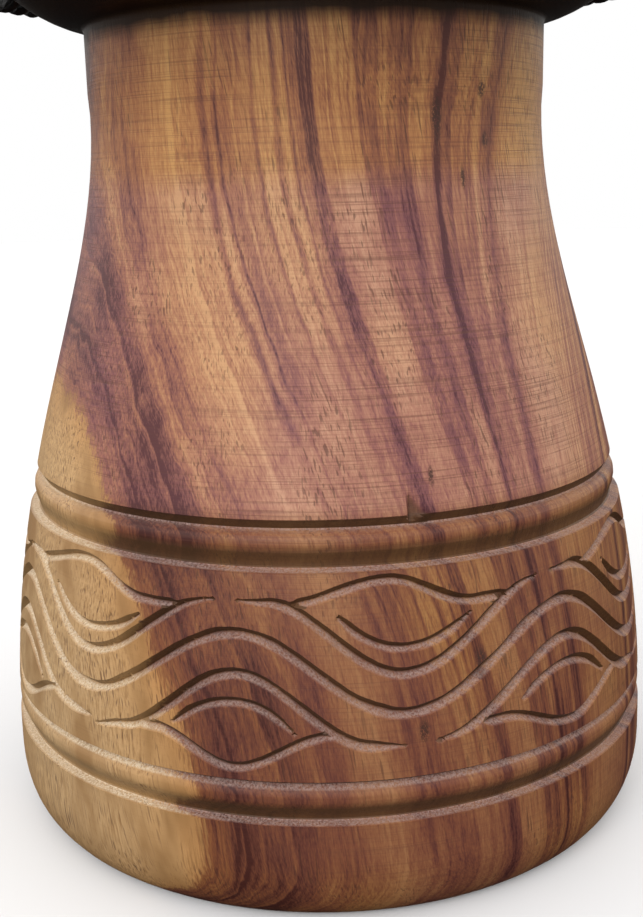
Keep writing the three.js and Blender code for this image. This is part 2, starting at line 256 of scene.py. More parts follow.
# Each bead's top and height, and the carved band between them
LOWER_BEAD = (49.3, 14.3)
UPPER_BEAD = (126.4, 15.3)
BAND = (LOWER_BEAD[0], UPPER_BEAD[0] - UPPER_BEAD[1])
BAND_ROWS = 68
FINE_COLUMNS = 624
PLAIN_COLUMNS = 156
FINE_BOTTOM = 33.6
FINE_TOP = 136.0

# Rows of the carved zone, each with how much of a groove it shows, and the side of it
band_rows = [(flank_radius(z), z, 0.0, -1.0) for z in np.linspace(*BAND, BAND_ROWS + 1)[1:-1]]
fine_rows = [(flank_radius(FINE_BOTTOM), FINE_BOTTOM, 0.0, -1.0)]
fine_rows += bead_rows(LOWER_SHAPE, *LOWER_BEAD, 10)
fine_rows += band_rows
fine_rows += bead_rows(UPPER_SHAPE, *UPPER_BEAD, 14)
fine_rows += [(flank_radius(z), z, 0.0, -1.0) for z in np.linspace(UPPER_BEAD[0], FINE_TOP, 12)[1:]]

# The rest of the outline: up the neck, round the bowl, over the rim, down the hollow and out to the foot
plain_rows = [(flank_radius(z), z) for z in np.linspace(FINE_TOP + 2.0, WAIST_HEIGHT, 17)]
plain_rows += [(NECK_RADIUS, z) for z in (*NECK_ROWS, NECK_HEIGHT - 1.4)]
plain_rows += [(NECK_RADIUS + 0.5, NECK_HEIGHT - 0.35)]
plain_rows += [shoulder(d) for d in np.linspace(SHOULDER_START + 1.5, SHOULDER_END, 14)]
plain_rows += [tuple(p) for p in side[6::6]]
plain_rows += arc((BOWL_RADIUS - RIM_ROUND, RIM_HEIGHT - RIM_ROUND), RIM_ROUND, 10, 90, 7)
plain_rows += [(BOWL_RADIUS - RIM_ROUND - RIM_FLAT, RIM_HEIGHT)]
hollow_top = RIM_HEIGHT - RIM_BEVEL
plain_rows += [(side_radius(z) - BOWL_WALL, z) for z in np.linspace(hollow_top, side_foot[1] + 12, 15)]
plain_rows += [shoulder(d, BOWL_WALL) for d in np.linspace(60, SHOULDER_START, 6)]
throat = WAIST_RADIUS - FOOT_WALL
plain_rows += [(throat + 6, NECK_HEIGHT + 4), (throat + 1.5, NECK_HEIGHT - 2), (throat, NECK_HEIGHT - 9)]
bore_heights = np.linspace(WAIST_HEIGHT, 12, 11)
plain_rows += [(min(BORE_RADIUS, flank_radius(z) - FOOT_WALL), z) for z in bore_heights]
plain_rows += [(BORE_RADIUS, 1.5), (BORE_RADIUS + 1.5, 0), (FLOOR_RADIUS - 1.0, 0)]
plain_rows += [
    (FLOOR_RADIUS + (FOOT_RADIUS - FLOOR_RADIUS) * math.sin(a), FOOT_EDGE * (1 - math.cos(a)))
    for a in np.radians(np.linspace(4, 90, 11))
]
plain_rows += [(flank_radius(z), z) for z in (27.0, 31.0)]

# The carved wave
# Cut freehand with a V-shaped gouge: one wave right round, and an eye in each of its hollows, above and
# below. Crests and troughs are in degrees round from the front, and a cut is its width and its depth.
CRESTS = [-66, -14, 41, 92, 143, 193.5, 244]
TROUGHS = [-42, 11.5, 65, 117, 168, 219, 269]
BAND_MIDDLE = 81.2
MAIN_SWING = 12.2
MAIN_CUT = (4.0, 2.45)
OUTER_CUT = (3.8, 2.3)
EYE_CUT = (3.5, 2.0)
INNER_CUT = (3.3, 1.8)
OUTER_LOW = -0.3
OUTER_RISE = 21.8
OUTER_REACH = (26.5, 25.5)
INNER_REACH = (-11.0, 12.3)
TIP_TAPER = 0.65
LEAST_CUT = 0.35

# A motif's own numbers: where its outer line levels off and how its tips rise, left and right; the eye's
# peak, its top, and its fall (drop and run) either side; and the inner line's bottom and climb either side.
Motif = namedtuple("Motif", "run tip peak top fall inner climb")
UPPER_FRONT = Motif((21, 25), (0.3, 2.3), -2.0, 27.4, ((7.0, 18), (8.8, 14)), 7.3, (0.1, 0.062))
LOWER_FRONT = Motif((21, 21), (3.0, 0.7), -0.5, 28.2, ((9.0, 13), (10.0, 14)), 8.2, (0.08, 0.115))
LOWER_RIGHT = Motif((25, 21), (2.5, 1.0), 1.0, 27.0, ((8.0, 15), (8.5, 14)), 8.0, (0.07, 0.09))

Line = namedtuple("Line", "centre start end height cut ends")


def swing(distance, run):
    """Rises from 0 to 1 over the run, gently at both ends."""
    return (1 - np.cos(np.pi * np.clip(distance / run, 0, 1))) / 2


def motif_lines(centre, side_up, shape):
    def outer(a):
        run = np.where(a < 0, shape.run[0], shape.run[1])
        reach = np.where(a < 0, OUTER_REACH[0], OUTER_REACH[1])
        tip = np.where(a < 0, shape.tip[0], shape.tip[1])
        past = np.clip((np.abs(a) - run) / np.maximum(reach - run, 1), 0, 1)
        return BAND_MIDDLE + side_up * (OUTER_LOW + OUTER_RISE * swing(np.abs(a), run) + tip * past)

    def eye_rise(a):
        from_peak = a - shape.peak
        drop = np.where(from_peak < 0, shape.fall[0][0], shape.fall[1][0])
        run = np.where(from_peak < 0, shape.fall[0][1], shape.fall[1][1])
        return shape.top - drop * swing(np.abs(from_peak), run)

    def inner_rise(a):
        climb = np.where(a < 0, shape.climb[0], shape.climb[1])
        return shape.inner + climb * a * a

    def eye(a):
        return BAND_MIDDLE + side_up * eye_rise(a)

    def inner(a):
        return BAND_MIDDLE + side_up * inner_rise(a)

    inside_eye = [a for a in np.arange(*INNER_REACH, 0.1) if inner_rise(a) < eye_rise(a)]
    return [
        Line(centre, -OUTER_REACH[0], OUTER_REACH[1], outer, OUTER_CUT, (8, 6.5 + 1.5 * side_up)),
        Line(centre, -17.5, 17.5 + 2 * side_up, eye, EYE_CUT, (1.5, 3)),
        Line(centre, inside_eye[0], inside_eye[-1], inner, INNER_CUT, (3, 4)),
    ]


def main_height(a):
    """The wave's height at an angle counted from the first crest."""
    turns = sorted([(c, 1) for c in CRESTS] + [(t, -1) for t in TROUGHS])
    angles = np.array([t[0] for t in turns] + [turns[0][0] + 360], float)
    signs = np.array([t[1] for t in turns] + [turns[0][1]], float)
    place = np.mod(a - angles[0], 360) + angles[0]
    i = np.clip(np.searchsorted(angles, place, side="right") - 1, 0, len(turns) - 1)
    share = swing(place - angles[i], angles[i + 1] - angles[i])
    return BAND_MIDDLE + MAIN_SWING * (signs[i] + (signs[i + 1] - signs[i]) * share)


carver = random.Random(7)


def vary(value, by):
    return value * carver.uniform(1 - by, 1 + by)


def by_eye(shape):
    """The same motif, drawn again a little differently."""
    return Motif(
        tuple(vary(run, 0.05) for run in shape.run),
        tuple(vary(tip, 0.5) for tip in shape.tip),
        shape.peak + carver.uniform(-1.5, 1.5),
        shape.top + carver.uniform(-0.8, 0.8),
        tuple((vary(drop, 0.08), vary(run, 0.08)) for drop, run in shape.fall),
        vary(shape.inner, 0.08),
        tuple(vary(climb, 0.12) for climb in shape.climb),
    )


lines = [Line(0, -180, 180, main_height, MAIN_CUT, (0, 0))]
for k in range(len(CRESTS)):
    upper_shape = UPPER_FRONT if TROUGHS[k] == 11.5 else by_eye(UPPER_FRONT)
    lower_shape = {-14: LOWER_FRONT, 41: LOWER_RIGHT}.get(CRESTS[k]) or by_eye(LOWER_FRONT)
    lines += motif_lines(TROUGHS[k], 1, upper_shape)
    lines += motif_lines(CRESTS[k], -1, lower_shape)


def unsteady(angle, line, pace, seed, most):
    """How far the hand strays along a line, at a slow or a quick pace."""
    return np.array([most * noise.noise((t * pace, line.centre * seed, line.cut[0])) for t in angle])


def cut_sizes(line, angle):
    """The line's height, half-width up and down, and depth at each angle, or a width of 0 off its ends."""
    a = np.mod(angle - line.centre + 180, 360) - 180
    on = (a >= line.start) & (a <= line.end)
    astray = unsteady(angle, line, 0.2, 1.3, 0.22) + unsteady(angle, line, 0.8, 1.7, 0.12)
    height = line.height(a) + astray
    step = 0.2
    per_degree = math.radians(1) * flank_radius(BAND_MIDDLE)
    slope = (line.height(a + step) - line.height(a - step)) / (2 * step * per_degree)
    size = np.ones_like(a)
    for gone, length in ((a - line.start, line.ends[0]), (line.end - a, line.ends[1])):
        if length:
            size = np.minimum(size, np.clip(gone / length, 0, 1) ** TIP_TAPER)
    pressure = 1 + unsteady(angle, line, 0.2, 0.7, 0.16)
    size = np.where(on, size * pressure, 0)
    half = line.cut[0] / 2 * size * np.sqrt(1 + slope**2)
    half = np.where(half > LEAST_CUT + 0.6 * np.abs(slope), half, 0)
    return height, half, line.cut[1] * size


def tube(bm, rows, columns):
    """Spins an outline of radius and height: a twelfth of the way round, then that twelve times over."""
    verts = [bm.verts.new((row[0] * MM, 0, row[1] * MM)) for row in rows]
    edges = [bm.edges.new(pair) for pair in zip(verts, verts[1:])]
    turn = {"cent": (0, 0, 0), "axis": (0, 0, 1)}
    twelfth = math.pi / 6
    bmesh.ops.spin(bm, geom=verts + edges, angle=twelfth, steps=columns // 12, **turn)
    sector = bm.verts[:] + bm.edges[:] + bm.faces[:]
    bmesh.ops.spin(bm, geom=sector, angle=11 * twelfth, steps=11, use_duplicate=True, **turn)
    bmesh.ops.remove_doubles(bm, verts=bm.verts, dist=1e-6)
    bmesh.ops.recalc_face_normals(bm, faces=bm.faces)


def angle_of(co):
    return math.degrees(math.atan2(co.x, -co.y))


def outward_from(co):
    return Vector((co.x, co.y, 0)).normalized()


def deepest_cut(cuts_here, height):
    """The depth of the deepest cut here, and the side of it: -1 at its lower lip, 1 at its upper."""
    near = [(h, w, d) for h, w, d in cuts_here if abs(height - h) < w * 1.001]
    depths = [(d * (1 - abs(height - h) / w), (height - h) / w) for h, w, d in near]
    return max(depths, default=(0.0, 0.0))


shell = bmesh.new()
cut_layer = shell.verts.layers.float.new("cut")
side_layer = shell.verts.layers.float.new("cut_side")
tube(shell, fine_rows, FINE_COLUMNS)

# Each column's rows are drawn to the lips and floors of the cuts that cross it, so that every cut is crisp.
heights = np.array([row[1] for row in fine_rows])
groove = np.array([row[2] for row in fine_rows])
groove_side = np.array([row[3] for row in fine_rows])
in_band = (heights > BAND[0] + 0.1) & (heights < BAND[1] - 0.1)
first, last = np.flatnonzero(in_band)[[0, -1]]
columns = {}
for vert in shell.verts:
    column = round(angle_of(vert.co) / 360 * FINE_COLUMNS) % FINE_COLUMNS
    columns.setdefault(column, []).append(vert)
order = sorted(columns)
angles = np.array([column * 360 / FINE_COLUMNS for column in order])
cuts = [cut_sizes(line, angles) for line in lines]
row_gap = (BAND[1] - BAND[0]) / BAND_ROWS
for i, column in enumerate(order):
    column_verts = sorted(columns[column], key=lambda vert: vert.co.z)
    z = heights.copy()
    cuts_here = [(h[i], w[i], d[i]) for h, w, d in cuts if w[i] > 0]
    taken = set()
    for h, w, d in sorted(cuts_here, key=lambda cut: -cut[2]):
        narrow = w < 0.7 * row_gap
        marks = [(h, d)] if narrow else [(h, d), (h - w, 0.0), (h + w, 0.0)]
        for mark, own_depth in marks:
            nearest = int(np.argmin(np.abs(heights - mark)))
            inside = first <= nearest <= last
            shallow = deepest_cut(cuts_here, mark)[0] < own_depth + 0.12
            if inside and nearest not in taken and shallow:
                z[nearest] = mark
                taken.add(nearest)
    rows = zip(column_verts, z, groove, groove_side, in_band)
    for vert, height, bead_cut, bead_lip, in_rows in rows:
        depth, lip = deepest_cut(cuts_here, height) if in_rows else (0.0, bead_lip)
        if in_rows:
            radius = (flank_radius(height) - depth) * MM
            turn = math.radians(angles[i])
            vert.co = (radius * math.sin(turn), -radius * math.cos(turn), height * MM)
        vert[cut_layer] = max(depth / MAIN_CUT[1], bead_cut)
        vert[side_layer] = lip

# A cut's lips and floor run along the shorter way across each square of the mesh.
for face in list(shell.faces):
    a, b, c, d = face.verts
    one, other = abs(a[cut_layer] - c[cut_layer]), abs(b[cut_layer] - d[cut_layer])
    if max(one, other) > 0.02:
        pair = (a, c) if one < other else (b, d)
        bmesh.utils.face_split(face, *pair)

# A three-cornered chip has broken out of the lip above the upper bead, steep on its left.
CHIP_LEFT = 13.3
CHIP_WIDTH = 3.6
CHIP_HEIGHT = 7.6
CHIP_DEPTH = 2.2
CHIP_SHOWS = 0.085
for vert in shell.verts:
    across = (angle_of(vert.co) - CHIP_LEFT) / CHIP_WIDTH
    up = (vert.co.z / MM - UPPER_BEAD[0]) / CHIP_HEIGHT
    if -0.4 <= up < 1 and 0 <= across < 1 - max(up, 0):
        own = flank_radius(vert.co.z / MM) - math.hypot(vert.co.x, vert.co.y) / MM
        high = max(up, 0)
        bite = CHIP_DEPTH * (1 - across / (1 - high)) ** 0.8 * (1 - high) ** 0.4
        bite = max(0, bite + 0.25 * noise.noise(vert.co / MM / 1.3) - own)
        vert.co -= outward_from(vert.co) * bite * MM
        # The chip's hollow counts as the upper side of a cut, so it is painted in shade
        vert[cut_layer] = max(vert[cut_layer], CHIP_SHOWS * min(1, bite))
        vert[side_layer] = 1.0

plain = bmesh.new()
tube(plain, plain_rows, PLAIN_COLUMNS)
plain_data = bpy.data.meshes.new("plain_turning")
plain.to_mesh(plain_data)
plain.free()
shell.from_mesh(plain_data)
bpy.data.meshes.remove(plain_data)
for near in (FINE_BOTTOM, FINE_TOP):
    gap = [e for e in shell.edges if e.is_boundary and abs(e.verts[0].co.z / MM - near) < 5]
    bmesh.ops.bridge_loops(shell, edges=gap)
bmesh.ops.recalc_face_normals(shell, faces=shell.faces)


def hollow_side(co):
    """True on the inside of the shell."""
    r, z = math.hypot(co.x, co.y) / MM, co.z / MM
    if z > side_foot[1]:
        return r < side_radius(z) - BOWL_WALL * 0.6
    return r < min(flank_radius(z), BORE_RADIUS + 12) - FOOT_WALL * 0.5


# Turning leaves the outside very slightly uneven, and the adze leaves shallow scoops in the hollow.
for vert in shell.verts:
    place = vert.co / MM
    if hollow_side(vert.co):
        wobble = 1.0 * noise.noise(place / 16) + 0.5 * noise.noise(place / 7)
    else:
        wobble = 0.14 * noise.noise(place / 34)
    if vert.co.z > 0.5 * MM:
        vert.co += outward_from(vert.co) * wobble * MM

# The wood
# An oiled tropical hardwood, streaked gold and purple-brown, with pale sapwood where the log's outside was.
# Darker below the upper bead, it has painted shade under the bowl and in the cuts, where torn fibres stand
# pale.
# The growth rings lie round a pith that leans, and is off the drum, back and to the right.
PITH = (330.3, 210.4)
PITH_LEAN = (0.176, -0.193)
PITH_BEND = -0.000316
PITH_LEVEL = 135.0
OVAL_TURN = -0.930
OVAL = (1.209, 0.791)
RING_TILT = 0.0037
TILT_FROM = 340.0
TILT_MOST = 60.0
FIBRE_LEAN = (-0.15, 0.05)
FIBRE_PUSH = (7, -7, 0)

# The tone of the heartwood out from the pith, from 0 for gold to 1 for the darkest purple streaks
STREAKS = [
    (287, 0.42), (295, 0.28), (303, 0.18), (311, 0.2), (315, 0.34), (317.8, 0.8), (320, 0.4), (323, 0.5),
    (325, 0.44), (327.6, 0.94), (329.6, 0.46), (331.4, 0.5), (333, 0.76), (334.6, 0.5), (336.6, 0.74),
    (339.6, 0.33), (343.5, 0.26), (346, 0.46), (348.3, 0.8), (350.3, 0.42), (355, 0.32), (361, 0.5),
    (365, 0.42), (369.3, 0.14), (373, 0.32), (375.6, 0.58), (378.2, 0.46), (380.8, 0.84), (383, 0.62),
    (385.6, 0.84), (388.4, 0.58),
]
HEARTWOOD = [
    (0.0, (0.55, 0.320, 0.165)),
    (0.3, (0.43, 0.219, 0.118)),
    (0.55, (0.315, 0.136, 0.087)),
    (0.8, (0.195, 0.077, 0.068)),
    (1.0, (0.090, 0.030, 0.034)),
]
SAPWOOD_FROM = 389.2
SAPWOOD_BLEACH = 9.0
SAPWOOD = [(0.0, (0.48, 0.250, 0.095)), (0.3, (0.53, 0.325, 0.150)), (1.0, (0.56, 0.40, 0.225))]
SAPWOOD_DARK = (0.25, 0.133, 0.05, 1)

# Tints that the bare wood is multiplied by, and the heights between which each comes in
PINK_FLUSH = (0.94, 0.88, 0.83, 1)
PURPLE_FLUSH = (0.87, 0.79, 0.97, 1)
NECK_GOLD = (0.92, 0.82, 0.56, 1)
NECK_GOLD_FROM = (225.0, 233.0)
DARKER_HEART = (0.61, 0.53, 0.37, 1)
DARKER_SAP = (0.87, 0.82, 0.77, 1)
DARKER_BELOW = (130.0, 124.0)

PORE = (0.065, 0.026, 0.018, 1)
TURNING_MARK = (0.105, 0.040, 0.026, 1)
TURNED_SMOOTH_BELOW = (112.0, 130.0)
# Painted shade under the bowl's overhang, partly a dark oil stain, and the heights where it starts and ends
UNDERSIDE_SHADE_AND_STAIN = (0.019, 0.008, 0.003, 1)
SHADE_AND_STAIN_FROM = (265.5, 270.5)
SHADE_AND_STAIN_ENDS = (352.0, 322.0)
DUST = (0.37, 0.265, 0.235, 1)
SAPWOOD_DUST = (0.66, 0.54, 0.39, 1)
# Painted shade for the cuts' upper walls and floors, on the heartwood and on the sapwood
CUT_SHADE = (0.058, 0.030, 0.012, 1)
SAPWOOD_CUT_SHADE = (0.20, 0.13, 0.055, 1)
SCAR = (0.050, 0.022, 0.016, 1)

# Small scars where the grain has torn: degrees round from the front, height, half-width and half-height
SCARS = [
    (27.2, 240, 2.4, 9), (40, 248, 2.0, 3.5), (41, 233, 1.8, 3), (33.5, 222, 1.2, 5), (23.8, 81, 2.6, 6),
    (14, 63, 2.0, 4.5), (18, 137, 1.2, 6), (-30.5, 93, 1.2, 1.0), (150, 200, 2, 9), (-125, 160, 2, 8),
]


def spread(tree, value, low, high, to_low=0.0, to_high=1.0):
    """The value's place between low and high, held inside them."""
    sockets = {"Value": value, "From Min": low, "From Max": high, "To Min": to_low, "To Max": to_high}
    return put(tree, "ShaderNodeMapRange", sockets).outputs["Result"]


def blend_colour(tree, share, a, b, mode="MIX"):
    node = put(tree, "ShaderNodeMix", {0: share, 6: a, 7: b}, data_type="RGBA", blend_type=mode)
    return node.outputs[2]


def vector_of(tree, operation, values):
    return put(tree, "ShaderNodeVectorMath", values, operation=operation).outputs["Vector"]


def length_of(tree, vector):
    return put(tree, "ShaderNodeVectorMath", {0: vector}, operation="LENGTH").outputs["Value"]


def joined(tree, x, y, z=0.0):
    return put(tree, "ShaderNodeCombineXYZ", {0: x, 1: y, 2: z}).outputs[0]


def parted(tree, vector):
    return put(tree, "ShaderNodeSeparateXYZ", {0: vector}).outputs


def stretched(tree, vector, by):
    return vector_of(tree, "MULTIPLY", {0: vector, 1: by})


def held(tree, value, low, high):
    return put(tree, "ShaderNodeClamp", {"Value": value, "Min": low, "Max": high}).outputs[0]


def noise_at(tree, vector, scale, detail=2.0, roughness=0.5):
    values = {"Vector": vector, "Scale": scale, "Detail": detail, "Roughness": roughness}
    return put(tree, "ShaderNodeTexNoise", values).outputs[0]


def ring_noise(tree, distance, scale, roughness):
    values = {"W": distance, "Scale": scale, "Detail": 3.0, "Roughness": roughness}
    return put(tree, "ShaderNodeTexNoise", values, noise_dimensions="1D").outputs[0]


def nudged(tree, value, by, most):
    """The value moved up or down by a noise, which has its middle at a half."""
    return calc(tree, "MULTIPLY_ADD", calc(tree, "SUBTRACT", by, 0.5), most, value)


def finish_surface(tree, surface, colour, rough, relief, strength, depth):
    tree.links.new(colour, surface.inputs["Base Color"])
    tree.links.new(rough, surface.inputs["Roughness"])
    bump = put(tree, "ShaderNodeBump", {"Height": relief, "Strength": strength, "Distance": depth})
    tree.links.new(bump.outputs[0], surface.inputs["Normal"])


def new_material(name):
    material = bpy.data.materials.new(name)
    material.use_nodes = True
    tree = material.node_tree
    return material, tree, tree.nodes["Principled BSDF"]


# Patches, used on every finish: a noise cut down to a mask, which rises from 0 at Low to Most at High
patches = bpy.data.node_groups.new("patches", "ShaderNodeTree")
patches.interface.new_socket("Place", in_out="INPUT", socket_type="NodeSocketVector")
for label in ("Scale", "Detail", "Roughness", "Low", "High", "Most"):
    patches.interface.new_socket(label, in_out="INPUT", socket_type="NodeSocketFloat")
patches.interface.new_socket("Mask", in_out="OUTPUT", socket_type="NodeSocketFloat")
given = patches.nodes.new("NodeGroupInput").outputs
patchy = noise_at(patches, given["Place"], given["Scale"], given["Detail"], given["Roughness"])
patch_mask = spread(patches, patchy, given["Low"], given["High"], 0.0, given["Most"])
put(patches, "NodeGroupOutput", {"Mask": patch_mask})


def patches_on(tree, place, scale, low, high, detail=2.0, roughness=0.5, most=1.0):
    values = {"Place": place, "Scale": scale, "Detail": detail, "Roughness": roughness}
    values |= {"Low": low, "High": high, "Most": most}
    return put(tree, "ShaderNodeGroup", values, node_tree=patches).outputs["Mask"]


wood, tree, surface = new_material("oiled_wood")
object_place = put(tree, "ShaderNodeTexCoord").outputs["Object"]
object_mm = put(tree, "ShaderNodeVectorMath", {0: object_place, 3: 1000.0}, operation="SCALE").outputs[0]
x, y, height = parted(tree, object_mm)

# How far out from the pith a point is, across the log's slightly oval rings
up = calc(tree, "SUBTRACT", height, PITH_LEVEL)
lean_x = calc(tree, "MULTIPLY", up, calc(tree, "MULTIPLY_ADD", up, PITH_BEND, PITH_LEAN[0]))
dx = calc(tree, "SUBTRACT", calc(tree, "SUBTRACT", x, PITH[0]), lean_x)
dy = calc(tree, "SUBTRACT", y, calc(tree, "MULTIPLY_ADD", up, PITH_LEAN[1], PITH[1]))
cos_turn = math.cos(OVAL_TURN)
sin_turn = math.sin(OVAL_TURN)
long_way = calc(tree, "MULTIPLY_ADD", dx, cos_turn, calc(tree, "MULTIPLY", dy, sin_turn))
short_way = calc(tree, "MULTIPLY_ADD", dx, -sin_turn, calc(tree, "MULTIPLY", dy, cos_turn))
long_way = calc(tree, "MULTIPLY", long_way, OVAL[0])
short_way = calc(tree, "MULTIPLY", short_way, OVAL[1])
from_pith = length_of(tree, joined(tree, long_way, short_way))
within = held(tree, calc(tree, "SUBTRACT", TILT_FROM, from_pith), 0.0, TILT_MOST)
near_up = held(tree, up, -PITH_LEVEL, PITH_LEVEL)
ring = calc(tree, "MULTIPLY_ADD", calc(tree, "MULTIPLY", within, near_up), RING_TILT, from_pith)

# The place with the fibres stood upright, the rings' sway along them, and the fibres' own wander and curl
fibre_x = calc(tree, "MULTIPLY_ADD", height, -FIBRE_LEAN[0], x)
fibre_y = calc(tree, "MULTIPLY_ADD", height, -FIBRE_LEAN[1], y)
fibre = joined(tree, fibre_x, fibre_y, height)
slow = stretched(tree, fibre, (1, 1, 0.25))
sway = calc(tree, "MULTIPLY_ADD", noise_at(tree, slow, 0.02, 0.0), 3.0, -1.5)
ripple = calc(tree, "MULTIPLY_ADD", noise_at(tree, slow, 0.16, 1.0), 1.5, -0.75)
distance = calc(tree, "ADD", ring, calc(tree, "ADD", sway, ripple))
push = noise_at(tree, stretched(tree, fibre, (1, 1, 0.5)), 0.035, 1.0)
curly = vector_of(tree, "MULTIPLY_ADD", {0: joined(tree, push, push), 1: FIBRE_PUSH, 2: fibre})
cloud = noise_at(tree, stretched(tree, fibre, (1, 1, 0.6)), 0.022, 1.0)
patch = noise_at(tree, stretched(tree, fibre, (1, 1, 0.45)), 0.05, 3.0, 0.6)
fuzz = noise_at(tree, stretched(tree, object_mm, (1, 1, 0.6)), 1.5, 2.0, 0.75)

# The streaks that show are set one by one, and nearer the pith the rings go on at random.
low = STREAKS[0][0]
high = STREAKS[-1][0]
known_stops = [((ring_at - low) / (high - low), float(tone)) for ring_at, tone in STREAKS]
known = ramp(tree, spread(tree, distance, low, high), known_stops)
wild = spread(tree, ring_noise(tree, distance, 0.11, 0.65), 0.36, 0.68)
nearer = spread(tree, distance, low + 4, low - 4)
known = calc(tree, "MULTIPLY", known, calc(tree, "SUBTRACT", 1.0, nearer))
tone = calc(tree, "ADD", known, calc(tree, "MULTIPLY", wild, nearer))
fine_rings = ring_noise(tree, distance, 0.8, 0.7)
tone = nudged(tree, tone, fine_rings, spread(tree, cloud, 0.35, 0.65, 1.35, 0.5))
tone = nudged(tree, tone, patch, 1.0)
threads = noise_at(tree, stretched(tree, curly, (1, 1, 0.07)), 1.3, 2.0, 0.65)
tone = nudged(tree, tone, threads, 0.62)
flecks = noise_at(tree, stretched(tree, curly, (1, 1, 0.28)), 2.6, 0.0)
tone = nudged(tree, tone, flecks, 0.22)
tone = calc(tree, "MULTIPLY_ADD", tone, 1.16, -0.07, clamp=True)
heart = ramp(tree, tone, HEARTWOOD)

# The flank is flushed with pink and purple in broad clouds, the neck is more golden, and below the upper
# bead the wood is darker.
flush = blend_colour(tree, spread(tree, cloud, 0.36, 0.6), PINK_FLUSH, PURPLE_FLUSH)
neck_edge = calc(tree, "MULTIPLY_ADD", patch, 12.0, height)
flush = blend_colour(tree, spread(tree, neck_edge, *NECK_GOLD_FROM), flush, NECK_GOLD)
heart = blend_colour(tree, 1.0, heart, flush, "MULTIPLY")
darkened = spread(tree, height, *DARKER_BELOW)
heart_below = blend_colour(tree, 1.0, heart, DARKER_HEART, "MULTIPLY")
heart = blend_colour(tree, darkened, heart, heart_below)

# The sapwood has darker threads and worn patches, and it runs into the heartwood in a ragged edge.
thread_place = stretched(tree, curly, (1, 1, 0.04))
sap_threads = patches_on(tree, thread_place, 1.5, 0.42, 0.74, 2.0, 0.7, 0.8)
sap_worn = spread(tree, patch, 0.44, 0.62, 0.0, 0.7)
sap_pale = ramp(tree, spread(tree, distance, SAPWOOD_FROM, SAPWOOD_FROM + SAPWOOD_BLEACH), SAPWOOD)
sap = blend_colour(tree, calc(tree, "MAXIMUM", sap_threads, sap_worn), sap_pale, SAPWOOD_DARK)
sap_below = blend_colour(tree, 1.0, sap, DARKER_SAP, "MULTIPLY")
sap = blend_colour(tree, darkened, sap, sap_below)
sap_edge = nudged(tree, distance, threads, 3.0)
bare = blend_colour(tree, spread(tree, sap_edge, SAPWOOD_FROM - 0.3, SAPWOOD_FROM + 0.5), heart, sap)

# Open pores lie along the fibres, and the lathe's fine lines run round.
long_pores = patches_on(tree, stretched(tree, curly, (1, 1, 0.055)), 1.7, 0.63, 0.72, 0.0)
short_pores = patches_on(tree, stretched(tree, curly, (1, 1, 0.12)), 2.6, 0.66, 0.78, 0.0, 0.5, 0.45)
pore_patch = spread(tree, patch, 0.58, 0.42, 0.08, 1.0)
pores = calc(tree, "MULTIPLY", calc(tree, "MAXIMUM", long_pores, short_pores), pore_patch)
bare = blend_colour(tree, calc(tree, "MULTIPLY", pores, 0.6), bare, PORE)
turned_place = stretched(tree, object_mm, (0.02, 0.02, 1.7))
turned_patch = spread(tree, cloud, 0.36, 0.6, 0.4, 1.0)
off_sapwood = spread(tree, sap_edge, SAPWOOD_FROM, SAPWOOD_FROM + 1, 1.0, 0.3)
turned_patch = calc(tree, "MULTIPLY", turned_patch, off_sapwood)
above_oil = spread(tree, height, *TURNED_SMOOTH_BELOW, 0.6, 1.0)
turned_patch = calc(tree, "MULTIPLY", turned_patch, above_oil)
turning_lines = patches_on(tree, turned_place, 1.0, 0.48, 0.66, 2.0, 0.75)
turning_marks = calc(tree, "MULTIPLY", turning_lines, turned_patch)
bare = blend_colour(tree, calc(tree, "MULTIPLY", turning_marks, 0.5), bare, TURNING_MARK)

# The bowl's underside is painted nearly black: mostly painted shade under the overhang, partly oil stain.
shade_and_stain_edge = calc(tree, "MULTIPLY_ADD", patch, 6.0, calc(tree, "SUBTRACT", height, 3.0))
shaded_and_stained = calc(tree, "MULTIPLY", spread(tree, shade_and_stain_edge, *SHADE_AND_STAIN_FROM), spread(tree, height, *SHADE_AND_STAIN_ENDS))
bare = blend_colour(tree, calc(tree, "MULTIPLY", shaded_and_stained, 0.975), bare, UNDERSIDE_SHADE_AND_STAIN)

# The mesh says how deep in a cut a point is, and on which side. Pale fibres stand up on the cuts' lower
# walls: creamy on the sapwood, greyer and fewer on the heartwood. The upper walls, which face down, and
# the floors are painted darker as painted shade, less so on the sapwood.
cut = put(tree, "ShaderNodeAttribute", attribute_name="cut").outputs["Fac"]
cut_side = put(tree, "ShaderNodeAttribute", attribute_name="cut_side").outputs["Fac"]
facing = parted(tree, put(tree, "ShaderNodeNewGeometry").outputs["Normal"])["Z"]
# Painted shade: faces turned down, and the upper side and floor of each cut, are darkened
facing_down = spread(tree, facing, -0.08, -0.4)
ragged_side = calc(tree, "MULTIPLY_ADD", fuzz, 0.3, calc(tree, "SUBTRACT", cut_side, 0.15))
shaded_side = calc(tree, "MAXIMUM", facing_down, spread(tree, ragged_side, -0.2, 0.08))
shade_in_cuts = calc(tree, "MULTIPLY", shaded_side, spread(tree, cut, 0.02, 0.1))
unshaded = calc(tree, "SUBTRACT", 1.0, shade_in_cuts)
fibres = calc(tree, "MULTIPLY", spread(tree, cut, 0.06, 0.3), spread(tree, fuzz, 0.34, 0.6, 0.1, 1.0))
dust_share = calc(tree, "MULTIPLY", fibres, unshaded)
on_sapwood = spread(tree, sap_edge, SAPWOOD_FROM - 0.7, SAPWOOD_FROM + 3)
dust_colour = blend_colour(tree, on_sapwood, DUST, SAPWOOD_DUST)
dust_strength = calc(tree, "MULTIPLY", dust_share, spread(tree, on_sapwood, 0, 1, 0.62, 0.85))
colour = blend_colour(tree, dust_strength, bare, dust_colour)
